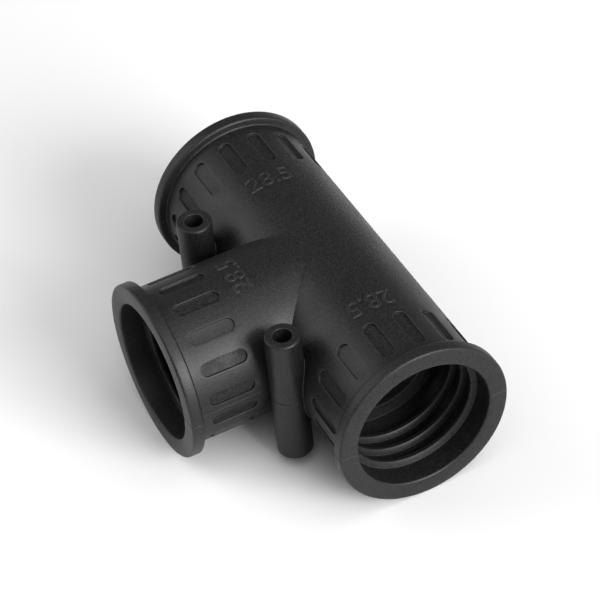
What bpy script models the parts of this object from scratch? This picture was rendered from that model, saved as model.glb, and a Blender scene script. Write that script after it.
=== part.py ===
"""Two-piece tee fitting for corrugated conduit.

Two moulded half shells close round the tubes and are held by two screws,
which go down wells in the bosses that stand in the corners of the tee.
The run lies along X, the branch points to -Y and the halves part on the
plane that holds both axes. The origin is the bottom centre of the box.
"""
import math

import bmesh
import bpy
from mathutils import Matrix

# ---- Driving dimensions, in metres ----

# The corrugated tube that the sockets take.
TUBE_OD = 0.0285
TUBE_BORE_R = 0.0116
TUBE_PITCH = 0.0041

# Sockets and body. A reach is from the crossing of the axes to a port's face.
RUN_REACH = 0.04275
BRANCH_REACH = 0.0399
SOCKET_CLEARANCE = 0.0006
WALL = 0.0023
BRANCH_SLIM = 0.00015
MOUTH_CHAMFER = 0.0004
STOP_DEPTH = 0.020
STOP_WIDTH = 0.002

# Latch ribs that reach into the tube's grooves.
RIB_COUNT = 3
RIB_HEIGHT = 0.0013
RIB_BASE = 0.0018
RIB_TIP = 0.0010
RIB_SETBACK = 0.006

# Flange round each port.
FLANGE_STEP = 0.00185
FLANGE_THICKNESS = 0.0028
RIM_ROUND = 0.0005

# Shallow grip pockets round each socket.
POCKET_ANGLES = [11.5, 34.5, 57.5, 80.5]
POCKET_LENGTH = 0.0102
POCKET_WIDTH = 0.0030
POCKET_DEPTH = 0.0006
POCKET_SETBACK = 0.0105

# Screw bosses, placed by how far their axes stand outside the body.
BOSS_R = 0.00375
BOSS_HALF_HEIGHT = 0.0159
BOSS_OFF_BRANCH = 0.0029
BOSS_OFF_RUN = 0.0015
BOSS_ROUND = 0.0004

# Screws, and the wells and pilot holes that take them.
HEAD_R = 0.0017
HEAD_HEIGHT = 0.0015
DRIVE_WIDTH = 0.0005
DRIVE_DEPTH = 0.0008
SHANK_R = 0.00085
THREAD_R = 0.0011
THREAD_PITCH = 0.0008
THREAD_TURNS = 12
POINT_LENGTH = 0.0010
LEDGE_HEIGHT = 0.0040

# Collar that centres the halves at each boss.
COLLAR_WALL = 0.0009
COLLAR_HEIGHT = 0.0012

# Fits, and the roundness of turned pieces.
GAP = 0.0003
TURN_STEPS = 48
BOSS_STEPS = 28
SCREW_STEPS = 20
MERGE = 0.00001
OVERRUN = 0.002

# ---- Sizes that follow ----
BORE_R = TUBE_OD / 2 + SOCKET_CLEARANCE
BODY_R = BORE_R + WALL
FLANGE_R = BODY_R + FLANGE_STEP
BOSS_X = BODY_R + BOSS_OFF_BRANCH
BOSS_Y = -(BODY_R + BOSS_OFF_RUN)
HOLE_R = THREAD_R + GAP
WELL_R = HEAD_R + GAP
HEAD_SEAT = LEDGE_HEIGHT + GAP
SCREW_TIP = HEAD_SEAT - THREAD_PITCH * (THREAD_TURNS + 1) - POINT_LENGTH
PILOT_FLOOR = SCREW_TIP - POINT_LENGTH
CROSSING_Y = (BRANCH_REACH - FLANGE_R) / 2
FAR = 2 * max(RUN_REACH, BRANCH_REACH)

# A turned piece's local Z runs out of its port.
TO_PLUS_X = Matrix.Rotation(math.pi / 2, 4, "Y")
TO_MINUS_Y = Matrix.Rotation(math.pi / 2, 4, "X")
UPRIGHT = Matrix.Identity(4)


def clear_scene():
    """Start from nothing, whatever the file held."""
    for old in list(bpy.data.objects):
        bpy.data.objects.remove(old, do_unlink=True)


def make_material(name, colour, roughness, metallic):
    material = bpy.data.materials.new(name)
    material.use_nodes = True
    shader = material.node_tree.nodes["Principled BSDF"]
    shader.inputs["Base Color"].default_value = (*colour, 1.0)
    shader.inputs["Roughness"].default_value = roughness
    shader.inputs["Metallic"].default_value = metallic
    return material


def add_object(name, mesh, collection, turn=UPRIGHT, at=(0, 0, 0)):
    """Link a mesh at a place counted from the crossing of the axes."""
    piece = bpy.data.objects.new(name, mesh)
    collection.objects.link(piece)
    piece.parent = datum
    piece.matrix_local = Matrix.Translation(at) @ turn
    return piece


def as_cutter(piece):
    piece.hide_render = True
    piece.display_type = "WIRE"
    return piece


def turned(name, profile, steps, collection, turn=UPRIGHT, at=(0, 0, 0)):
    """Turn a profile of (radius, height) points, listed top to bottom, about local Z."""
    mesh = bpy.data.meshes.new(name)
    points = [(radius, 0, height) for radius, height in profile]
    mesh.from_pydata(points, [(i, i + 1) for i in range(len(points) - 1)], [])
    piece = add_object(name, mesh, collection, turn, at)
    screw = piece.modifiers.new("turn", "SCREW")
    screw.axis = "Z"
    screw.angle = 2 * math.pi
    screw.steps = steps
    screw.render_steps = steps
    screw.use_merge_vertices = True
    screw.merge_threshold = MERGE
    return piece


def box(name, low, high, collection):
    """A box from its low corner to its high corner."""
    mesh = bpy.data.meshes.new(name)
    shape = bmesh.new()
    bmesh.ops.create_cube(shape, size=1)
    size = [b - a for a, b in zip(low, high)]
    centre = [(a + b) / 2 for a, b in zip(low, high)]
    bmesh.ops.scale(shape, vec=size, verts=shape.verts)
    bmesh.ops.translate(shape, vec=centre, verts=shape.verts)
    shape.to_mesh(mesh)
    shape.free()
    return add_object(name, mesh, collection)


def combine(piece, operation, other):
    step = piece.modifiers.new(other.name, "BOOLEAN")
    step.operation = operation
    step.object = other
    step.solver = "EXACT"


def shade(piece):
    piece.data.shade_smooth()
    piece.data.set_sharp_from_angle(angle=math.radians(30))


def rounded_rim(radius, face, depth):
    """The outside of a flange whose outer face is at face, with both corners rounded."""
    points = []
    for i in range(3):
        a = math.radians(45 * i)
        points.append((radius - RIM_ROUND * (1 - math.sin(a)), face - RIM_ROUND * (1 - math.cos(a))))
    back = face - depth
    for i in range(3):
        a = math.radians(45 * i)
        points.append((radius - RIM_ROUND * (1 - math.cos(a)), back + RIM_ROUND * (1 - math.sin(a))))
    return points


def run_body_profile():
    near = rounded_rim(FLANGE_R, RUN_REACH, FLANGE_THICKNESS)
    near.append((BODY_R, RUN_REACH - FLANGE_THICKNESS))
    far = [(radius, -height) for radius, height in reversed(near)]
    return [(0, RUN_REACH)] + near + far + [(0, -RUN_REACH)]


def branch_body_profile():
    radius = BODY_R - BRANCH_SLIM
    near = rounded_rim(FLANGE_R, BRANCH_REACH, FLANGE_THICKNESS)
    near.append((radius, BRANCH_REACH - FLANGE_THICKNESS))
    return [(0, BRANCH_REACH)] + near + [(radius, 0), (0, 0)]


def socket_profile(reach, chamber_r):
    """The hollow of one socket, from outside its face in to the chamber."""
    mouth_r = BORE_R + MOUTH_CHAMFER
    points = [(mouth_r, reach + OVERRUN), (mouth_r, reach), (BORE_R, reach - MOUTH_CHAMFER)]
    for i in range(RIB_COUNT):
        middle = reach - RIB_SETBACK - i * TUBE_PITCH
        points.append((BORE_R, middle + RIB_BASE / 2))
        points.append((BORE_R - RIB_HEIGHT, middle + RIB_TIP / 2))
        points.append((BORE_R - RIB_HEIGHT, middle - RIB_TIP / 2))
        points.append((BORE_R, middle - RIB_BASE / 2))
    stop = reach - STOP_DEPTH
    points += [(BORE_R, stop), (TUBE_BORE_R, stop)]
    points += [(TUBE_BORE_R, stop - STOP_WIDTH), (chamber_r, stop - STOP_WIDTH)]
    return points


def run_hollow_profile():
    near = socket_profile(RUN_REACH, BORE_R)
    far = [(radius, -height) for radius, height in reversed(near)]
    return [(0, near[0][1])] + near + far + [(0, far[-1][1])]


def branch_hollow_profile():
    chamber_r = BORE_R - BRANCH_SLIM
    near = socket_profile(BRANCH_REACH, chamber_r)
    return [(0, near[0][1])] + near + [(chamber_r, 0), (0, 0)]


def boss_profile():
    corner = BOSS_R - BOSS_ROUND
    shoulder = BOSS_HALF_HEIGHT - BOSS_ROUND
    return [
        (0, BOSS_HALF_HEIGHT),
        (corner, BOSS_HALF_HEIGHT),
        (BOSS_R, shoulder),
        (BOSS_R, -shoulder),
        (corner, -BOSS_HALF_HEIGHT),
        (0, -BOSS_HALF_HEIGHT),
    ]


def add_pocket(shape, reach, turn, degrees):
    """One obround block that cuts a pocket this many degrees round from the top."""
    half = (POCKET_LENGTH - POCKET_WIDTH) / 2
    depth = 4 * POCKET_DEPTH
    made = bmesh.ops.create_cone(
        shape,
        cap_ends=True,
        segments=12,
        radius1=POCKET_WIDTH / 2,
        radius2=POCKET_WIDTH / 2,
        depth=depth,
    )
    for vert in made["verts"]:
        vert.co.y += math.copysign(half, vert.co.y)
    # Now the pocket's length is along Y and its depth along Z.
    out = BODY_R - POCKET_DEPTH + depth / 2
    lift = Matrix.Translation((0, reach - POCKET_SETBACK, out))
    around = Matrix.Rotation(math.radians(degrees), 4, "Y")
    bmesh.ops.transform(shape, matrix=turn @ around @ lift, verts=made["verts"])


def pocket_cutter(name, side, collection):
    """All the pockets of one half: four each side of its crown, at each port."""
    mesh = bpy.data.meshes.new(name)
    shape = bmesh.new()
    half_turn = math.pi / 2
    ports = [
        (RUN_REACH, Matrix.Rotation(-half_turn, 4, "Z")),
        (RUN_REACH, Matrix.Rotation(half_turn, 4, "Z")),
        (BRANCH_REACH, Matrix.Rotation(math.pi, 4, "Z")),
    ]
    crown = 0 if side > 0 else 180
    for reach, turn in ports:
        for angle in POCKET_ANGLES:
            add_pocket(shape, reach, turn, crown + angle)
            add_pocket(shape, reach, turn, crown - angle)
    shape.to_mesh(mesh)
    shape.free()
    return as_cutter(add_object(name, mesh, collection))


def make_shell(name, side):
    """One half of the housing: side is +1 for the upper half and -1 for the lower."""
    shell = turned(name, run_body_profile(), TURN_STEPS, parts, TO_PLUS_X)
    branch = turned(name + "_branch", branch_body_profile(), TURN_STEPS, cutters, TO_MINUS_Y)
    combine(shell, "UNION", as_cutter(branch))
    for hand, x in (("left", -BOSS_X), ("right", BOSS_X)):
        boss = turned(name + "_boss_" + hand, boss_profile(), BOSS_STEPS, cutters, at=(x, BOSS_Y, 0))
        combine(shell, "UNION", as_cutter(boss))
    combine(shell, "DIFFERENCE", pocket_cutter(name + "_pockets", side, cutters))
    run_hollow = turned(name + "_run_hollow", run_hollow_profile(), TURN_STEPS, cutters, TO_PLUS_X)
    combine(shell, "DIFFERENCE", as_cutter(run_hollow))
    branch_hollow = turned(
        name + "_branch_hollow", branch_hollow_profile(), TURN_STEPS, cutters, TO_MINUS_Y
    )
    combine(shell, "DIFFERENCE", as_cutter(branch_hollow))
    edges = sorted((side * GAP / 2, -side * FAR))
    half = box(name + "_other_half", (-FAR, -FAR, edges[0]), (FAR, FAR, edges[1]), cutters)
    combine(shell, "DIFFERENCE", as_cutter(half))
    return shell


def cut_wells(shell):
    """Screw wells, clearance holes and collar recesses in the upper half."""
    recess_r = HOLE_R + COLLAR_WALL + GAP
    recess_top = COLLAR_HEIGHT + GAP
    profile = [
        (0, BOSS_HALF_HEIGHT + OVERRUN),
        (WELL_R, BOSS_HALF_HEIGHT + OVERRUN),
        (WELL_R, LEDGE_HEIGHT),
        (HOLE_R, LEDGE_HEIGHT),
        (HOLE_R, recess_top),
        (recess_r, recess_top),
        (recess_r, -OVERRUN),
        (0, -OVERRUN),
    ]
    for hand, x in (("left", -BOSS_X), ("right", BOSS_X)):
        well = turned("well_" + hand, profile, BOSS_STEPS, cutters, at=(x, BOSS_Y, 0))
        combine(shell, "DIFFERENCE", as_cutter(well))


def add_collars(shell):
    """Collars that stand on the lower half's bosses, and its blind pilot holes."""
    collar_r = HOLE_R + COLLAR_WALL
    collar = [(0, COLLAR_HEIGHT), (collar_r, COLLAR_HEIGHT), (collar_r, -OVERRUN), (0, -OVERRUN)]
    top = COLLAR_HEIGHT + OVERRUN
    pilot = [(0, top), (HOLE_R, top), (HOLE_R, PILOT_FLOOR), (0, PILOT_FLOOR)]
    for hand, x in (("left", -BOSS_X), ("right", BOSS_X)):
        ring = turned("collar_" + hand, collar, BOSS_STEPS, cutters, at=(x, BOSS_Y, 0))
        combine(shell, "UNION", as_cutter(ring))
        hole = turned("pilot_" + hand, pilot, BOSS_STEPS, cutters, at=(x, BOSS_Y, 0))
        combine(shell, "DIFFERENCE", as_cutter(hole))


def screw_profile():
    """A cheese head on a threaded shank, from the head's top to the point."""
    top = HEAD_SEAT + HEAD_HEIGHT
    chamfer = GAP / 2
    points = [(0, top), (HEAD_R - chamfer, top), (HEAD_R, top - chamfer), (HEAD_R, HEAD_SEAT)]
    points.append((SHANK_R, HEAD_SEAT))
    height = HEAD_SEAT - THREAD_PITCH
    for _ in range(THREAD_TURNS):
        points.append((SHANK_R, height))
        points.append((THREAD_R, height - THREAD_PITCH / 2))
        height -= THREAD_PITCH
    points.append((SHANK_R, height))
    points.append((0, height - POINT_LENGTH))
    return points


def make_screw(hand, x):
    name = "screw_" + hand
    screw = turned(name, screw_profile(), SCREW_STEPS, parts, at=(x, BOSS_Y, 0))
    top = HEAD_SEAT + HEAD_HEIGHT
    for i, (long_x, long_y) in enumerate(((1, 0), (0, 1))):
        reach = HEAD_R * 0.7
        half_x = reach if long_x else DRIVE_WIDTH / 2
        half_y = reach if long_y else DRIVE_WIDTH / 2
        low = (x - half_x, BOSS_Y - half_y, top - DRIVE_DEPTH)
        high = (x + half_x, BOSS_Y + half_y, top + OVERRUN)
        slot = box(f"{name}_slot_{i}", low, high, cutters)
        combine(screw, "DIFFERENCE", as_cutter(slot))
    return screw


clear_scene()
parts = bpy.data.collections.new("tee_fitting")
cutters = bpy.data.collections.new("cutters")
bpy.context.scene.collection.children.link(parts)
bpy.context.scene.collection.children.link(cutters)
datum = bpy.data.objects.new("axes_crossing", None)
parts.objects.link(datum)
datum.location = (0, CROSSING_Y, FLANGE_R)

black_plastic = make_material("black_plastic", (0.018, 0.018, 0.020), 0.55, 0.0)
zinc_steel = make_material("zinc_steel", (0.62, 0.63, 0.65), 0.35, 1.0)

upper = make_shell("upper_shell", 1)
cut_wells(upper)
lower = make_shell("lower_shell", -1)
add_collars(lower)
screws = [make_screw("left", -BOSS_X), make_screw("right", BOSS_X)]

for shell in (upper, lower):
    shell.data.materials.append(black_plastic)
    shade(shell)
for screw in screws:
    screw.data.materials.append(zinc_steel)
    shade(screw)
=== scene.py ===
"""Two-piece tee fitting for corrugated conduit: two moulded half shells and their two screws."""
import math

import bmesh
import bpy
from mathutils import Matrix, Vector


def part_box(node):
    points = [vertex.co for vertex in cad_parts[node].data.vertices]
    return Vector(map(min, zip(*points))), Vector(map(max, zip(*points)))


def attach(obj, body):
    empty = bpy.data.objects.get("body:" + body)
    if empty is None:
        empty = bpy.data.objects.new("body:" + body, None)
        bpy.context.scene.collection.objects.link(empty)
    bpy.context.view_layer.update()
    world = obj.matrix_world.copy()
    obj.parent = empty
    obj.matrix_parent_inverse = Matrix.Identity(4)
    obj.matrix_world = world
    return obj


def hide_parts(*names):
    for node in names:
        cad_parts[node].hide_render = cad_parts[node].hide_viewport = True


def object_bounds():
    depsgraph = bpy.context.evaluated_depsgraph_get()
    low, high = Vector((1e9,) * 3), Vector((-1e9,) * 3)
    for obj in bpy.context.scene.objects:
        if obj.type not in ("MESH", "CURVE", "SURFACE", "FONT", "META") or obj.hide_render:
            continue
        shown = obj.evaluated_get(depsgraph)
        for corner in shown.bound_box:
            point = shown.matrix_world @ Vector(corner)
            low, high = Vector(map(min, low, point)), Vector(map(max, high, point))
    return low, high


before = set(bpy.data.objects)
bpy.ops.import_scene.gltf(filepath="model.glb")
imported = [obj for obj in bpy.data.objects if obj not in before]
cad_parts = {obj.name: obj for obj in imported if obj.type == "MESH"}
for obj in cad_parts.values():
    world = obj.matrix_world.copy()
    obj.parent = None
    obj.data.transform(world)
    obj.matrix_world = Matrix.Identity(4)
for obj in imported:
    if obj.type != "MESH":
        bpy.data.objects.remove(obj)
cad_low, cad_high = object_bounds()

# ---- The housing ----
# Two half shells, moulded in black polyamide with a fine satin grain. They
# part on the plane of both axes, and each port has a flange round its mouth.
low = Vector(cad_low)
high = Vector(cad_high)
flange_r = (high.z - low.z) / 2
run_reach = (high.x - low.x) / 2
crossing = Vector((0, high.y - flange_r, flange_r))
branch_reach = crossing.y - low.y

flange_step = 0.00185
branch_slim = 0.00015
wall = 0.0023
body_r = flange_r - flange_step
branch_r = body_r - branch_slim
bore_r = body_r - wall
stop_r = 0.0116
branch_start = 0.004
flange_thickness = 0.0028
flange_round = 0.0005
flange_root_round = 0.00035
mouth_round = 0.00045
turn_steps = 192
ring_gap = 0.0016
rounding_steps = 4
tiny = 0.000001

to_plus_x = Matrix.Rotation(math.pi / 2, 4, "Y")
to_minus_y = Matrix.Rotation(math.pi / 2, 4, "X")


def pick(piece):
    """Select one piece alone."""
    bpy.ops.object.select_all(action="DESELECT")
    piece.select_set(True)
    bpy.context.view_layer.objects.active = piece


def edit(piece):
    """Open one piece in edit mode, with nothing else selected."""
    pick(piece)
    bpy.ops.object.mode_set(mode="EDIT")


def pick_edges(test):
    """In edit mode, select the edges whose two ends both pass a test on their place."""
    bpy.ops.mesh.select_mode(type="EDGE")
    bpy.ops.mesh.select_all(action="DESELECT")
    mesh = bpy.context.object.data
    shape = bmesh.from_edit_mesh(mesh)
    for edge in shape.edges:
        if all(test(vert.co) for vert in edge.verts):
            edge.select_set(True)
    shape.select_flush_mode()
    bmesh.update_edit_mesh(mesh)


def keep_folds(piece, least_angle):
    """Unselect the picked edges that fold by less than an angle in radians."""
    shape = bmesh.from_edit_mesh(piece.data)
    for edge in shape.edges:
        if edge.select and (len(edge.link_faces) != 2 or edge.calc_face_angle() < least_angle):
            edge.select_set(False)
    bmesh.update_edit_mesh(piece.data)


def near(a, b, slack=0.00001):
    return abs(a - b) < slack


def round_rings(piece, rings, width, segments=rounding_steps):
    """Bevel the ring edges of a turned piece, each given by its radius and height."""
    edit(piece)
    for radius, height in rings:
        pick_edges(lambda co: near(co.z, height) and near(math.hypot(co.x, co.y), radius))
        bpy.ops.mesh.bevel(offset=width, segments=segments, profile=0.5)
    bpy.ops.object.mode_set(mode="OBJECT")


def place(piece, matrix):
    """Move the mesh to its place, so that the object itself stays at the origin."""
    piece.matrix_world = matrix
    pick(piece)
    bpy.ops.object.transform_apply(location=True, rotation=True, scale=True)


def raise_profile(name, profile, steps=turn_steps):
    """Raise a turned shape along Z from a disc: each ring is one extrude, slid and scaled."""
    radius, height = profile[0]
    bpy.ops.mesh.primitive_circle_add(
        vertices=steps, radius=radius, fill_type="NGON", location=(0, 0, height)
    )
    piece = bpy.context.object
    piece.name = name
    bpy.ops.object.transform_apply(location=True, rotation=True, scale=True)
    edit(piece)
    bpy.ops.mesh.select_mode(type="FACE")
    bpy.ops.mesh.select_all(action="SELECT")
    for next_radius, next_height in profile[1:]:
        slide = (0, 0, next_height - height)
        bpy.ops.mesh.extrude_region_move(TRANSFORM_OT_translate={"value": slide})
        if not near(next_radius, radius, tiny):
            grow = next_radius / radius
            centre = (0, 0, next_height)
            bpy.ops.transform.resize(value=(grow, grow, 1), center_override=centre)
        radius, height = next_radius, next_height
    bpy.ops.mesh.select_all(action="SELECT")
    bpy.ops.mesh.normals_make_consistent(inside=False)
    bpy.ops.object.mode_set(mode="OBJECT")
    return piece


def combine(piece, operation, other):
    """Join or cut a piece with another, which is then gone."""
    step = piece.modifiers.new(operation, "BOOLEAN")
    step.operation = operation
    step.object = other
    step.solver = "EXACT"
    pick(piece)
    bpy.ops.object.modifier_apply(modifier=step.name)
    bpy.data.objects.remove(other, do_unlink=True)


def rings_between(radius, start, end):
    """Plain rings along a straight wall, so that its faces stay short."""
    count = round(abs(end - start) / ring_gap)
    return [(radius, start + (end - start) * i / count) for i in range(count + 1)]


run_back = run_reach - flange_thickness
profile = [(flange_r, -run_reach), (flange_r, -run_back)]
profile += rings_between(body_r, -run_back, run_back)
profile += [(flange_r, run_back), (flange_r, run_reach)]
housing = raise_profile("housing", profile)
round_rings(housing, [(flange_r, s * z) for s in (-1, 1) for z in (run_back, run_reach)], flange_round)
round_rings(housing, [(body_r, -run_back), (body_r, run_back)], flange_root_round)
place(housing, Matrix.Translation(crossing) @ to_plus_x)

branch_back = branch_reach - flange_thickness
profile = rings_between(branch_r, branch_start, branch_back)
profile += [(flange_r, branch_back), (flange_r, branch_reach)]
branch = raise_profile("branch", profile)
round_rings(branch, [(flange_r, branch_back), (flange_r, branch_reach)], flange_round)
round_rings(branch, [(branch_r, branch_back)], flange_root_round)
place(branch, Matrix.Translation(crossing) @ to_minus_y)
combine(housing, "UNION", branch)

# The housing's two finishes: the fine grain, and the coarser one in the pockets, whose edges carry
# painted shade.
plastic = bpy.data.materials.new("black_satin_plastic")
coarse_plastic_painted_edge_shade = bpy.data.materials.new("black_coarse_plastic_painted_edge_shade")
for finish in (plastic, coarse_plastic_painted_edge_shade):
    finish.use_nodes = True
    housing.data.materials.append(finish)

# ---- Screw bosses ----
# Round posts in the two corners of the tee, moulded half on each shell. They run
# into the body's side, and their outer ends are a little rounded.
boss_r = 0.00375
boss_half = 0.0159
boss_top_round = 0.00048
boss_foot_round = 0.0006
boss_root_round = 0.00022
boss_steps = 96
root_fold = 0.35
root_slack = 0.000015
root_reach = boss_half / 2 + 0.001


def screw_axis(name):
    """The middle of a screw in plan, seen from the crossing's height."""
    corner_a, corner_b = [Vector(corner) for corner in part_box(name)]
    middle = (corner_a + corner_b) / 2
    return Vector((middle.x, middle.y, crossing.z))


axes = {name: screw_axis(name) for name in ("screw_left", "screw_right")}
for name, axis in axes.items():
    boss = raise_profile("boss", rings_between(boss_r, -boss_half, boss_half), boss_steps)
    round_rings(boss, [(boss_r, boss_half)], boss_top_round)
    round_rings(boss, [(boss_r, -boss_half)], boss_foot_round)
    place(boss, Matrix.Translation(axis))
    combine(housing, "UNION", boss)


def on_boss_root(co):
    """True where a boss's side runs into the run's side or the branch's."""
    spot = co - crossing
    if abs(spot.z) > root_reach:
        return False
    off_run = abs(math.hypot(spot.y, spot.z) - body_r)
    off_branch = abs(math.hypot(spot.x, spot.z) - branch_r)
    off_boss = min(abs(math.hypot(co.x - a.x, co.y - a.y) - boss_r) for a in axes.values())
    return off_boss < root_slack and min(off_run, off_branch) < root_slack


def round_boss_roots(shell):
    """Give the bosses a small radius where they leave the body."""
    edit(shell)
    pick_edges(on_boss_root)
    keep_folds(shell, root_fold)
    bpy.ops.mesh.bevel(offset=boss_root_round, segments=3, profile=0.5)
    bpy.ops.object.mode_set(mode="OBJECT")


# ---- Grip pockets ----
# Shallow round-ended pockets round each socket, four each side of the crown of
# each half. Their floors are coarse from the mould, but for the fine ones at 34.5 degrees.
pocket_length = 0.0102
pocket_width = 0.0030
pocket_depth = 0.0006
pocket_setback = 0.0105
pocket_angles = [11.5, 34.5, 57.5, 80.5]
fine_floor_angle = 34.5
pocket_edge_round = 0.00014
pocket_floor_round = 0.00008
pocket_skin = 0.00001
pocket_cover = 0.0008
pocket_cover_spread = (1.15, 1.5, 1)
pocket_steps = 32
pocket_strips = 7
hair = 0.000002

bpy.ops.mesh.primitive_circle_add(vertices=pocket_steps, radius=pocket_width / 2, fill_type="NGON")
pocket = bpy.context.object
bpy.ops.object.transform_apply(location=True, rotation=True, scale=True)
edit(pocket)
for end in (-1, 1):
    shape = bmesh.from_edit_mesh(pocket.data)
    bpy.ops.mesh.select_mode(type="VERT")
    bpy.ops.mesh.select_all(action="DESELECT")
    for vert in shape.verts:
        vert.select_set(vert.co.x * end > tiny)
    bmesh.update_edit_mesh(pocket.data)
    slide = (end * (pocket_length - pocket_width) / 2, 0, 0)
    bpy.ops.transform.translate(value=slide)
bpy.ops.mesh.select_all(action="SELECT")
bpy.ops.transform.translate(value=(0, 0, -pocket_depth))
bpy.ops.mesh.select_mode(type="FACE")
bpy.ops.mesh.select_all(action="SELECT")
rise = {"value": (0, 0, pocket_depth + pocket_skin)}
bpy.ops.mesh.extrude_region_move(TRANSFORM_OT_translate=rise)
bpy.ops.mesh.extrude_region_move(TRANSFORM_OT_translate={"value": (0, 0, 0)})
bpy.ops.transform.resize(value=pocket_cover_spread, center_override=(0, 0, pocket_skin))
bpy.ops.mesh.extrude_region_move(TRANSFORM_OT_translate={"value": (0, 0, pocket_cover)})
bpy.ops.mesh.select_all(action="SELECT")
bpy.ops.mesh.normals_make_consistent(inside=False)


def on_obround(co):
    """True on the pocket's own outline, seen from above."""
    straight = (pocket_length - pocket_width) / 2
    off_end = max(abs(co.x) - straight, 0)
    return near(math.hypot(off_end, co.y), pocket_width / 2, 10 * hair)


pick_edges(lambda co: near(co.z, pocket_skin, hair) and on_obround(co))
bpy.ops.mesh.bevel(offset=pocket_edge_round, segments=3, profile=0.5)
pick_edges(lambda co: near(co.z, -pocket_depth, hair))
bpy.ops.mesh.bevel(offset=pocket_floor_round, segments=3, profile=0.5)
half_strips = pocket_strips // 2
for i in range(-half_strips, half_strips + 1):
    bpy.ops.mesh.select_all(action="SELECT")
    cut = (0, i * pocket_width / pocket_strips, 0)
    bpy.ops.mesh.bisect(plane_co=cut, plane_no=(0, 1, 0), threshold=tiny / 10)
bpy.ops.object.mode_set(mode="OBJECT")
pocket.data.materials.append(plastic)
pocket.data.materials.append(coarse_plastic_painted_edge_shade)
floor_from = -pocket_depth * 0.95
for face in pocket.data.polygons:
    if face.center.z < floor_from:
        face.material_index = 1


def all_fine(tool):
    """Give every face the fine grain."""
    tool.data.polygons.foreach_set("material_index", [0] * len(tool.data.polygons))


def wrap(piece, radius):
    """Bend a flat piece over a round wall: its Y becomes the way round, its Z stands out."""
    for vert in piece.data.vertices:
        angle = vert.co.y / radius
        out = radius + vert.co.z
        vert.co = (vert.co.x, out * math.sin(angle), out * math.cos(angle))


def copy_of(piece):
    twin = piece.copy()
    twin.data = piece.data.copy()
    bpy.context.scene.collection.objects.link(twin)
    return twin


# Each port: its reach, its body's radius, and the turn from +X to the way it faces.
ports = [
    (run_reach, body_r, Matrix.Rotation(0, 4, "Z")),
    (run_reach, body_r, Matrix.Rotation(math.pi, 4, "Z")),
    (branch_reach, branch_r, Matrix.Rotation(-math.pi / 2, 4, "Z")),
]
cutters = []
for reach, radius, turn in ports:
    for crown in (0, 180):
        for angle in pocket_angles:
            for side in (-1, 1):
                tool = copy_of(pocket)
                if near(angle, fine_floor_angle):
                    all_fine(tool)
                wrap(tool, radius)
                around = Matrix.Rotation(math.radians(crown + side * angle), 4, "X")
                out = Matrix.Translation((reach - pocket_setback, 0, 0))
                place(tool, Matrix.Translation(crossing) @ turn @ out @ around)
                cutters.append(tool)
bpy.data.objects.remove(pocket, do_unlink=True)


def join(pieces):
    bpy.ops.object.select_all(action="DESELECT")
    for piece in pieces:
        piece.select_set(True)
    bpy.context.view_layer.objects.active = pieces[0]
    bpy.ops.object.join()
    return pieces[0]


combine(housing, "DIFFERENCE", join(cutters))

# ---- Sockets and chamber ----
# Each socket has three ribs that latch in the tube's grooves, a stop ring that the
# tube's end meets, and the open chamber that joins all three ports.
tube_pitch = 0.0041
rib_count = 3
rib_height = 0.0013
rib_base = 0.0018
rib_tip = 0.0010
rib_setback = 0.006
rib_round = 0.00022
mouth_flare = mouth_round * 3
stop_depth = 0.020
stop_width = 0.002
overrun = 0.002


def socket_rings(reach, chamber_r):
    """The hollow of one socket, from the chamber out past its face."""
    inner = reach - stop_depth - stop_width
    rings = [(chamber_r, inner), (stop_r, inner), (stop_r, inner + stop_width)]
    rings.append((bore_r, inner + stop_width))
    for i in reversed(range(rib_count)):
        middle = reach - rib_setback - i * tube_pitch
        rings.append((bore_r, middle - rib_base / 2))
        rings.append((bore_r - rib_height, middle - rib_tip / 2))
        rings.append((bore_r - rib_height, middle + rib_tip / 2))
        rings.append((bore_r, middle + rib_base / 2))
    rings += [(bore_r, reach), (bore_r + mouth_flare, reach)]
    return rings + [(bore_r + mouth_flare, reach + overrun)]


def socket_edges(reach):
    """The ring edges of one socket that the mould rounds."""
    edges = []
    for i in range(rib_count):
        middle = reach - rib_setback - i * tube_pitch
        edges.append((bore_r - rib_height, middle - rib_tip / 2))
        edges.append((bore_r - rib_height, middle + rib_tip / 2))
    return edges


near_end = socket_rings(run_reach, bore_r)
far_end = [(radius, -height) for radius, height in reversed(near_end)]
hollow = raise_profile("run_hollow", far_end + near_end)
for side in (-1, 1):
    round_rings(hollow, [(radius, side * z) for radius, z in socket_edges(run_reach)], rib_round, 3)
    round_rings(hollow, [(bore_r, side * run_reach)], mouth_round)
place(hollow, Matrix.Translation(crossing) @ to_plus_x)
combine(housing, "DIFFERENCE", hollow)

chamber_r = bore_r - branch_slim
hollow = raise_profile("branch_hollow", [(chamber_r, 0)] + socket_rings(branch_reach, chamber_r))
round_rings(hollow, socket_edges(branch_reach), rib_round, 3)
round_rings(hollow, [(bore_r, branch_reach)], mouth_round)
place(hollow, Matrix.Translation(crossing) @ to_minus_y)
combine(housing, "DIFFERENCE", hollow)

# ---- Parting the halves ----
# The mould makes the halves apart. They meet on the plane of the axes with a hair
# of a gap, which shows as a fine line round the flanges and bosses, darkened with painted shade.
seam = 0.00006
seam_round = 0.00009
seam_fold = 0.5


def half_of(name, side):
    shell = copy_of(housing)
    shell.name = name
    size = 4 * run_reach
    bpy.ops.mesh.primitive_cube_add(size=size)
    keep = bpy.context.object
    place(keep, Matrix.Translation((0, 0, crossing.z + side * (size + seam) / 2)))
    combine(shell, "INTERSECT", keep)
    edit(shell)
    edge_height = crossing.z + side * seam / 2
    pick_edges(lambda co: near(co.z, edge_height, tiny))
    keep_folds(shell, seam_fold)
    # The seam's bevel faces take the coarse finish, whose dark edge colour paints shade into the fine
    # line.
    bpy.ops.mesh.bevel(offset=seam_round, segments=1, material=1)
    bpy.ops.object.mode_set(mode="OBJECT")
    return shell


cover = half_of("upper_half", 1)
base = half_of("lower_half", -1)
bpy.data.objects.remove(housing, do_unlink=True)

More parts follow.
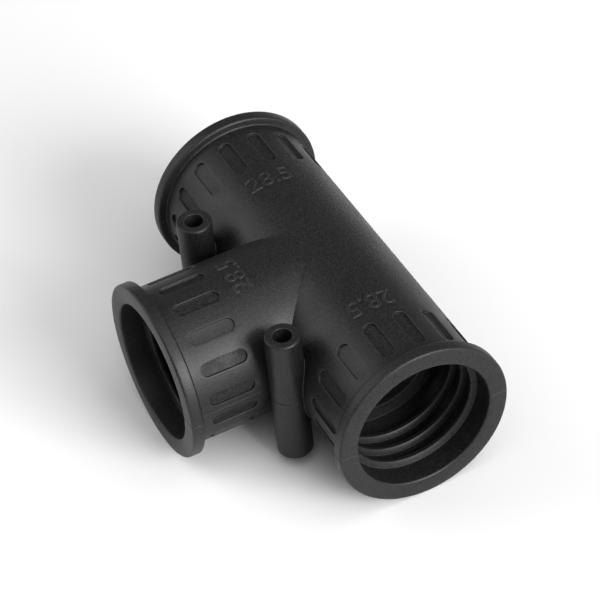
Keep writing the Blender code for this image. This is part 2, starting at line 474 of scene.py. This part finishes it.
# ---- Screw wells, collars and pilot holes ----
# A well in each upper boss takes the screw's head down to a ledge. The lower boss
# has the pilot hole, in a collar that centres the upper half.
well_r = 0.0020
hole_r = 0.0014
ledge_height = 0.0040
well_round = 0.00015
well_flare = 3 * well_round
collar_wall = 0.0009
collar_height = 0.0012
collar_clearance = 0.0003
pilot_depth = 0.0081
hole_steps = 64

for axis in axes.values():
    recess_r = hole_r + collar_wall + collar_clearance
    recess_top = collar_height + collar_clearance
    profile = [(recess_r, -overrun), (recess_r, recess_top), (hole_r, recess_top)]
    profile += [(hole_r, ledge_height), (well_r, ledge_height), (well_r, boss_half)]
    profile += [(well_r + well_flare, boss_half), (well_r + well_flare, boss_half + overrun)]
    well = raise_profile("well", profile, hole_steps)
    round_rings(well, [(well_r, boss_half)], well_round, 3)
    place(well, Matrix.Translation(axis))
    combine(cover, "DIFFERENCE", well)
    collar_r = hole_r + collar_wall
    collar = raise_profile("collar", [(collar_r, -overrun), (collar_r, collar_height)], hole_steps)
    round_rings(collar, [(collar_r, collar_height)], well_round, 3)
    place(collar, Matrix.Translation(axis))
    combine(base, "UNION", collar)
    pilot = raise_profile("pilot", [(hole_r, -pilot_depth), (hole_r, 2 * collar_height)], hole_steps)
    place(pilot, Matrix.Translation(axis))
    combine(base, "DIFFERENCE", pilot)

# ---- Size numbers ----
# The tube's outside diameter in millimetres stands a little proud of the upper
# half behind each port, with its top towards the port.
number_height = 0.0043
number_proud = 0.00030
number_sunk = 0.0004
number_setback = 0.0208
number_round = 0.00005
number_text = "28.5"
number_half_width = 0.006
capital_share = 0.72
slices = 9

bpy.ops.object.text_add()
number = bpy.context.object
number.data.body = number_text
number.data.align_x = "CENTER"
number.data.align_y = "CENTER"
number.data.size = number_height / capital_share
number.data.resolution_u = 3
number.data.extrude = (number_proud + number_sunk) / 2 - number_round
number.data.bevel_depth = number_round
number.data.bevel_resolution = 0
number.data.offset = -number_round
bpy.ops.object.convert(target="MESH")
number = bpy.context.object
lift = Matrix.Translation((0, 0, (number_proud - number_sunk) / 2))
place(number, lift @ Matrix.Rotation(-math.pi / 2, 4, "Z"))
edit(number)
bpy.ops.mesh.select_all(action="SELECT")
bpy.ops.mesh.remove_doubles(threshold=tiny)
for i in range(-slices, slices + 1):
    bpy.ops.mesh.select_all(action="SELECT")
    cut = (0, i * number_half_width / slices, 0)
    bpy.ops.mesh.bisect(plane_co=cut, plane_no=(0, 1, 0), threshold=tiny / 10)
bpy.ops.mesh.select_all(action="SELECT")
bpy.ops.mesh.normals_make_consistent(inside=False)
bpy.ops.object.mode_set(mode="OBJECT")
for reach, radius, turn in ports:
    mark = copy_of(number)
    wrap(mark, radius)
    out = Matrix.Translation((reach - number_setback, 0, 0))
    place(mark, Matrix.Translation(crossing) @ turn @ out)
    combine(cover, "UNION", mark)
bpy.data.objects.remove(number, do_unlink=True)

# ---- Black plastic ----
# Black polyamide from a spark-eroded mould: a fine even grain and faint cloudy
# patches where it cooled. Its edges are lighter, partly handling polish and partly painted highlight
# on the rounded rims.


def group_of(name, inputs, outputs):
    """A node group with named value inputs and outputs, and its two end nodes."""
    group = bpy.data.node_groups.new(name, "ShaderNodeTree")
    for label, value in inputs:
        socket = group.interface.new_socket(label, in_out="INPUT", socket_type="NodeSocketFloat")
        socket.default_value = value
    for label in outputs:
        group.interface.new_socket(label, in_out="OUTPUT", socket_type="NodeSocketFloat")
    start = group.nodes.new("NodeGroupInput")
    end = group.nodes.new("NodeGroupOutput")
    return group, start, end


# Surface grain: a fine height for bump, and a slow patchiness from 0 to 1.
grain, start, end = group_of(
    "surface_grain",
    [("Grain Scale", 3200.0), ("Patch Scale", 90.0)],
    ["Height", "Patches"],
)
where = grain.nodes.new("ShaderNodeTexCoord")
fine = grain.nodes.new("ShaderNodeTexNoise")
fine.inputs["Detail"].default_value = 3.0
fine.inputs["Roughness"].default_value = 0.6
slow = grain.nodes.new("ShaderNodeTexNoise")
slow.inputs["Detail"].default_value = 4.0
grain.links.new(where.outputs["Object"], fine.inputs["Vector"])
grain.links.new(where.outputs["Object"], slow.inputs["Vector"])
grain.links.new(start.outputs["Grain Scale"], fine.inputs["Scale"])
grain.links.new(start.outputs["Patch Scale"], slow.inputs["Scale"])
grain.links.new(fine.outputs["Fac"], end.inputs["Height"])
grain.links.new(slow.outputs["Fac"], end.inputs["Patches"])

# Edge mask: 1 on outer and inner corners, 0 on open faces. It lays the edge colour on: handling wear
# and painted highlight where that colour is lighter, painted shade where it is darker.
edge_wear_sheen_shade, start, end = group_of("edge_wear_sheen_shade_mask", [("Width", 0.0003)], ["Edge"])
corner = edge_wear_sheen_shade.nodes.new("ShaderNodeBevel")
corner.samples = 6
flat = edge_wear_sheen_shade.nodes.new("ShaderNodeNewGeometry")
facing = edge_wear_sheen_shade.nodes.new("ShaderNodeVectorMath")
facing.operation = "DOT_PRODUCT"
spread = edge_wear_sheen_shade.nodes.new("ShaderNodeMapRange")
spread.inputs["From Min"].default_value = 1.0
spread.inputs["From Max"].default_value = 0.86
edge_wear_sheen_shade.links.new(start.outputs["Width"], corner.inputs["Radius"])
edge_wear_sheen_shade.links.new(corner.outputs["Normal"], facing.inputs[0])
edge_wear_sheen_shade.links.new(flat.outputs["Normal"], facing.inputs[1])
edge_wear_sheen_shade.links.new(facing.outputs["Value"], spread.inputs["Value"])
edge_wear_sheen_shade.links.new(spread.outputs["Result"], end.inputs["Edge"])


def placed(material, group, values):
    node = material.node_tree.nodes.new("ShaderNodeGroup")
    node.node_tree = group
    for label, value in values:
        node.inputs[label].default_value = value
    return node


def ranged(material, source, low_value, high_value, from_low=0.35, from_high=0.65):
    """A mask spread between two values."""
    node = material.node_tree.nodes.new("ShaderNodeMapRange")
    node.inputs["From Min"].default_value = from_low
    node.inputs["From Max"].default_value = from_high
    node.inputs["To Min"].default_value = low_value
    node.inputs["To Max"].default_value = high_value
    material.node_tree.links.new(source, node.inputs["Value"])
    return node.outputs["Result"]


def mixed(material, factor, colour_a, colour_b):
    node = material.node_tree.nodes.new("ShaderNodeMix")
    node.data_type = "RGBA"
    for index, colour in ((6, colour_a), (7, colour_b)):
        if isinstance(colour, tuple):
            node.inputs[index].default_value = (*colour, 1.0)
        else:
            material.node_tree.links.new(colour, node.inputs[index])
    material.node_tree.links.new(factor, node.inputs[0])
    return node.outputs[2]


def finish_surface(material, colours, edge_wear_sheen_shade_colour, gloss, grain_values, bump, edge_width, depth):
    """Give a material its colours, its roughness from gloss to matt, and its grain."""
    tree = material.node_tree
    shader = tree.nodes["Principled BSDF"]
    texture = placed(material, grain, grain_values)
    edges = placed(material, edge_wear_sheen_shade, [("Width", edge_width)])
    speckle = ranged(material, texture.outputs["Height"], 0.0, 1.0, 0.38, 0.62)
    cloudy = mixed(material, speckle, *colours)
    # The edge colour over the corners: wear and painted highlight where it is lighter, painted shade
    # where it is darker.
    rubbed_sheen_and_shade = ranged(material, edges.outputs["Edge"], 0.0, 1.0, 0.0, 1.0)
    tree.links.new(mixed(material, rubbed_sheen_and_shade, cloudy, edge_wear_sheen_shade_colour), shader.inputs["Base Color"])
    rough = ranged(material, texture.outputs["Patches"], *gloss)
    tree.links.new(rough, shader.inputs["Roughness"])
    relief = tree.nodes.new("ShaderNodeBump")
    relief.inputs["Strength"].default_value = bump
    relief.inputs["Distance"].default_value = depth
    tree.links.new(texture.outputs["Height"], relief.inputs["Height"])
    tree.links.new(relief.outputs["Normal"], shader.inputs["Normal"])
    return shader


# The satin finish's lighter edge colour is partly handling polish and partly a painted highlight on
# the rims.
shader = finish_surface(
    plastic,
    colours=((0.0012, 0.0012, 0.0013), (0.0125, 0.0125, 0.0128)),
    edge_wear_sheen_shade_colour=(0.052, 0.052, 0.053),
    gloss=(0.41, 0.49),
    grain_values=[("Grain Scale", 2700.0), ("Patch Scale", 90.0)],
    bump=1.0,
    edge_width=0.00028,
    depth=0.000045,
)
shader.inputs["Specular IOR Level"].default_value = 0.36
# The coarse finish's dark edge colour is painted shade in the pocket corners and along the seam.
shader = finish_surface(
    coarse_plastic_painted_edge_shade,
    colours=((0.0008, 0.0008, 0.0009), (0.0135, 0.0135, 0.0138)),
    edge_wear_sheen_shade_colour=(0.003, 0.003, 0.0031),
    gloss=(0.46, 0.60),
    grain_values=[("Grain Scale", 1900.0), ("Patch Scale", 420.0)],
    bump=1.0,
    edge_width=0.00016,
    depth=0.00012,
)
shader.inputs["Specular IOR Level"].default_value = 0.30


# The crease between run and branch is crisp low down and melts away at the crowns,
# so it is smoothed there in three steps, each shorter, wider and stronger.
crease_steps = ((0.0095, 0.0012, 2), (0.0070, 0.0020, 4), (0.0045, 0.0028, 8))
crease_offset = body_r ** 2 - branch_r ** 2
mid_wall_r = (body_r + bore_r) / 2
shell_smooth_angle = math.radians(24)


def melt_crease(shell):
    """Soften the outer crease on one shell, most at the crown."""
    edit(shell)
    bpy.ops.mesh.select_mode(type="VERT")
    for reach, band, passes in crease_steps:
        bpy.ops.mesh.select_all(action="DESELECT")
        shape = bmesh.from_edit_mesh(shell.data)
        for vert in shape.verts:
            spot = vert.co - crossing
            off_axes = min(math.hypot(spot.y, spot.z), math.hypot(spot.x, spot.z))
            crease_y = -math.sqrt(spot.x ** 2 + crease_offset)
            if off_axes > mid_wall_r and abs(spot.x) < reach and abs(spot.y - crease_y) < band:
                vert.select_set(True)
        bmesh.update_edit_mesh(shell.data)
        bpy.ops.mesh.vertices_smooth(factor=0.5, repeat=passes)
    bpy.ops.object.mode_set(mode="OBJECT")


def clean(piece):
    """Weld the hair-thin slivers that cutting leaves."""
    edit(piece)
    bpy.ops.mesh.select_all(action="SELECT")
    bpy.ops.mesh.remove_doubles(threshold=tiny)
    bpy.ops.mesh.dissolve_degenerate(threshold=tiny / 2)
    bpy.ops.mesh.delete_loose()
    bpy.ops.object.mode_set(mode="OBJECT")


def split_faces(piece):
    """Turn many-sided faces into triangles, and clear what that leaves without area or loose."""
    edit(piece)
    bpy.ops.mesh.select_all(action="SELECT")
    bpy.ops.mesh.quads_convert_to_tris(quad_method="BEAUTY", ngon_method="BEAUTY")
    bpy.ops.object.mode_set(mode="OBJECT")
    clean(piece)
    edit(piece)
    bpy.ops.mesh.select_mode(type="FACE")
    bpy.ops.mesh.select_all(action="DESELECT")
    shape = bmesh.from_edit_mesh(piece.data)
    for face in shape.faces:
        face.select_set(any(edge.is_boundary for edge in face.edges))
    bmesh.update_edit_mesh(piece.data)
    bpy.ops.mesh.delete(type="FACE")
    bpy.ops.object.mode_set(mode="OBJECT")


def finish_shell(shell, node, body):
    """Finish one shell's mesh, hide the imported part that it replaces, and give it its body."""
    clean(shell)
    round_boss_roots(shell)
    melt_crease(shell)
    split_faces(shell)
    pick(shell)
    bpy.ops.object.shade_smooth_by_angle(angle=shell_smooth_angle)
    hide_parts(node)
    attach(shell, body)


finish_shell(cover, "upper_shell", "cover")
finish_shell(base, "lower_shell", "base")

# ---- Screws ----
# Two zinc-plated steel cheese-head screws, with a cross recess and a rolled thread
# that cuts its own way into the pilot hole.
head_r = 0.0017
head_height = 0.0015
head_round = 0.00018
shank_r = 0.00085
thread_r = 0.0011
thread_pitch = 0.0008
thread_turns = 12
point_length = 0.0010
drive_width = 0.0005
drive_depth = 0.0008
drive_length = head_r * 1.4
drive_taper = (0.7, 0.75, 1)
point_r = shank_r * 0.12
thread_root_r = shank_r * 0.8
thread_root_half = 0.4 * thread_pitch
thread_tip_half = 0.06 * thread_pitch
thread_drop = thread_pitch * 0.7
thread_steps = 28
screw_steps = 48
screw_smooth_angle = math.radians(30)

zinc = bpy.data.materials.new("zinc_plated_steel")
zinc.use_nodes = True
zinc_shader = finish_surface(
    zinc,
    colours=((0.56, 0.57, 0.59), (0.68, 0.68, 0.69)),
    edge_wear_sheen_shade_colour=(0.78, 0.78, 0.79),
    gloss=(0.26, 0.38),
    grain_values=[("Grain Scale", 5200.0), ("Patch Scale", 700.0)],
    bump=0.2,
    edge_width=0.00008,
    depth=0.00001,
)
zinc_shader.inputs["Metallic"].default_value = 1.0


def make_screw(name, node, body):
    """One screw, made at the origin with its head's seat at height 0."""
    end = -thread_pitch * (thread_turns + 1)
    profile = [(point_r, end - point_length), (shank_r, end), (shank_r, 0)]
    profile += [(head_r, 0), (head_r, head_height)]
    screw = raise_profile(name, profile, screw_steps)
    round_rings(screw, [(head_r, head_height)], head_round)
    round_rings(screw, [(head_r, 0)], head_round / 3, 2)

    # The thread: a small wedge swept up the shank by a screw.
    bpy.ops.mesh.primitive_plane_add(size=thread_pitch)
    thread = bpy.context.object
    edit(thread)
    shape = bmesh.from_edit_mesh(thread.data)
    for vert in shape.verts:
        outer = vert.co.x > 0
        height = math.copysign(thread_tip_half if outer else thread_root_half, vert.co.y)
        vert.co = (thread_r if outer else thread_root_r, 0, height)
    bmesh.update_edit_mesh(thread.data)
    bpy.ops.mesh.select_all(action="SELECT")
    bpy.ops.mesh.delete(type="ONLY_FACE")
    bpy.ops.object.mode_set(mode="OBJECT")
    sweep = thread.modifiers.new("sweep", "SCREW")
    sweep.axis = "Z"
    sweep.screw_offset = -thread_pitch
    sweep.iterations = thread_turns
    sweep.steps = thread_steps
    sweep.render_steps = thread_steps
    bpy.ops.object.modifier_apply(modifier=sweep.name)
    edit(thread)
    bpy.ops.mesh.select_mode(type="EDGE")
    bpy.ops.mesh.select_all(action="DESELECT")
    bpy.ops.mesh.select_non_manifold()
    bpy.ops.mesh.fill_holes(sides=4)
    bpy.ops.mesh.select_all(action="SELECT")
    bpy.ops.mesh.normals_make_consistent(inside=False)
    bpy.ops.object.mode_set(mode="OBJECT")
    place(thread, Matrix.Translation((0, 0, -thread_drop)))
    combine(screw, "UNION", thread)

    # The cross recess: two slots that narrow a little towards their floor.
    for turn in (0, math.pi / 2):
        bpy.ops.mesh.primitive_cube_add(size=1)
        slot = bpy.context.object
        slot.scale = (drive_length, drive_width, drive_depth * 2)
        bpy.ops.object.transform_apply(location=True, rotation=True, scale=True)
        edit(slot)
        pick_edges(lambda co: co.z < 0)
        bpy.ops.transform.resize(value=drive_taper, center_override=(0, 0, -drive_depth))
        bpy.ops.object.mode_set(mode="OBJECT")
        place(slot, Matrix.Translation((0, 0, head_height)) @ Matrix.Rotation(turn, 4, "Z"))
        combine(screw, "DIFFERENCE", slot)

    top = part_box(node)[1][2]
    seat = axes[node].copy()
    seat.z = top - head_height
    clean(screw)
    place(screw, Matrix.Translation(seat))
    screw.data.materials.clear()
    screw.data.materials.append(zinc)
    bpy.ops.object.shade_smooth_by_angle(angle=screw_smooth_angle)
    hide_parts(node)
    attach(screw, body)


make_screw("left_cheese_head_screw", "screw_left", "left_screw")
make_screw("right_cheese_head_screw", "screw_right", "right_screw")

# ---- Studio ----
# A plain pale floor, a large softbox overhead with a smaller one low on each side,
# and a dim even room round them.
floor_side = 3
bpy.ops.mesh.primitive_plane_add(size=floor_side)
floor = bpy.context.object
floor.name = "studio_floor"
paper = bpy.data.materials.new("pale_paper")
paper.use_nodes = True
paper_shader = paper.node_tree.nodes["Principled BSDF"]
paper_shader.inputs["Base Color"].default_value = (0.80, 0.80, 0.80, 1.0)
paper_shader.inputs["Roughness"].default_value = 0.9
paper_shader.inputs["Specular IOR Level"].default_value = 0.1
floor.data.materials.append(paper)

room = bpy.data.worlds.new("room")
bpy.context.scene.world = room
room.use_nodes = True
room.node_tree.nodes["Background"].inputs["Color"].default_value = (1, 1, 1, 1)
room.node_tree.nodes["Background"].inputs["Strength"].default_value = 0.27

# Each softbox: the way it stands from the fitting, its side and its power in watts.
softboxes = [
    ((0.40, 0.14, 0.86), 2.10, 24.0),
    ((0.84, 0.30, 0.40), 1.05, 54.0),
    ((-0.58, -0.66, 0.56), 1.50, 14.5),
]
softbox_away = 2.0
for way, side, power in softboxes:
    way = Vector(way).normalized()
    bpy.ops.object.light_add(type="AREA", location=crossing + way * softbox_away)
    softbox = bpy.context.object
    softbox.data.shape = "SQUARE"
    softbox.data.size = side
    softbox.data.energy = power
    softbox.rotation_euler = way.to_track_quat("Z", "Y").to_euler()

# A long lens keeps the ports round and the sides near parallel.
azimuth, elevation, lean = [math.radians(angle) for angle in (67.093, 43.33, -6.596)]
ahead = Vector((
    -math.sin(azimuth) * math.cos(elevation),
    math.cos(azimuth) * math.cos(elevation),
    -math.sin(elevation),
))
level = Vector((math.cos(azimuth), math.sin(azimuth), 0))
above = level.cross(ahead)
across = level * math.cos(lean) + above * math.sin(lean)
up = above * math.cos(lean) - level * math.sin(lean)
camera_away = 0.64104
aim = crossing + Vector((-0.0026, -0.00437, 0))
stance = Matrix((across, up, -ahead)).transposed().to_4x4()
stance.translation = aim - ahead * camera_away
bpy.ops.object.camera_add()
camera = bpy.context.object
camera.matrix_world = stance
camera.data.lens = 185.34
camera.data.sensor_width = 36
bpy.context.scene.camera = camera
bpy.context.scene.view_settings.view_transform = "Standard"
